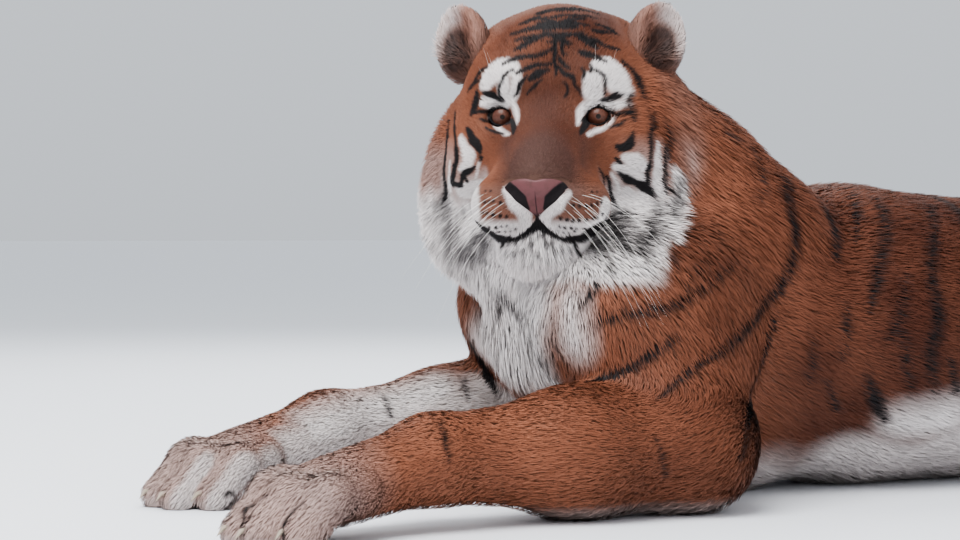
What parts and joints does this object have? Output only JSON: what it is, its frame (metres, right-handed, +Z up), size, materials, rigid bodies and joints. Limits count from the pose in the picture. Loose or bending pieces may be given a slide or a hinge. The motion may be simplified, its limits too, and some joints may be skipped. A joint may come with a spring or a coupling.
{
  "type": "siberian tiger",
  "caption": "Life-size still model of an adult male Siberian tiger lying on its chest with its forelegs stretched ahead, head up and turned to its left, tail curled beside it.",
  "frame": {"origin": "on the floor, on the flat under the breastbone, in the trunk's plane of symmetry", "axes": "+X towards the rump and tail (the head end is towards -X), +Z up, the animal's left flank towards -Y"},
  "size_m": [2.2614, 0.7853, 0.634],
  "materials": {
    "coat": "thick winter coat of orange-brown guard hair with black stripes, long and matt",
    "face": "short dense fur, orange with white patches and black marks",
    "paw": "short flat pale fur over dark toe pads",
    "nose": "moist pebbled pink nose leather",
    "eye": "wet glossy amber-brown eyeball with a round black pupil",
    "claw": "smooth horn, satin, ivory to grey"
  },
  "bodies": {
    "root": {"chest": "coat", "barrel": "coat", "rump": "coat", "neck": "coat", "tail_1": "coat", "tail_2": "coat", "tail_3": "coat", "tail_4": "coat", "upper_arm_left": "coat", "forearm_left": "coat", "thigh_left": "coat", "hock_left": "coat", "forepaw_left": "paw", "hindpaw_left": "paw", "forepaw_claw_left_1": "claw", "forepaw_claw_left_2": "claw", "forepaw_claw_left_3": "claw", "forepaw_claw_left_4": "claw", "forepaw_claw_left_5": "claw", "hindpaw_claw_left_1": "claw", "hindpaw_claw_left_2": "claw", "hindpaw_claw_left_3": "claw", "hindpaw_claw_left_4": "claw", "ear_left": "face", "eye_left": "eye", "upper_arm_right": "coat", "forearm_right": "coat", "thigh_right": "coat", "hock_right": "coat", "forepaw_right": "paw", "hindpaw_right": "paw", "forepaw_claw_right_1": "claw", "forepaw_claw_right_2": "claw", "forepaw_claw_right_3": "claw", "forepaw_claw_right_4": "claw", "forepaw_claw_right_5": "claw", "hindpaw_claw_right_1": "claw", "hindpaw_claw_right_2": "claw", "hindpaw_claw_right_3": "claw", "hindpaw_claw_right_4": "claw", "ear_right": "face", "eye_right": "eye", "head": "face", "muzzle": "face", "lower_jaw": "face", "nose": "nose"}
  },
  "joints": []
}
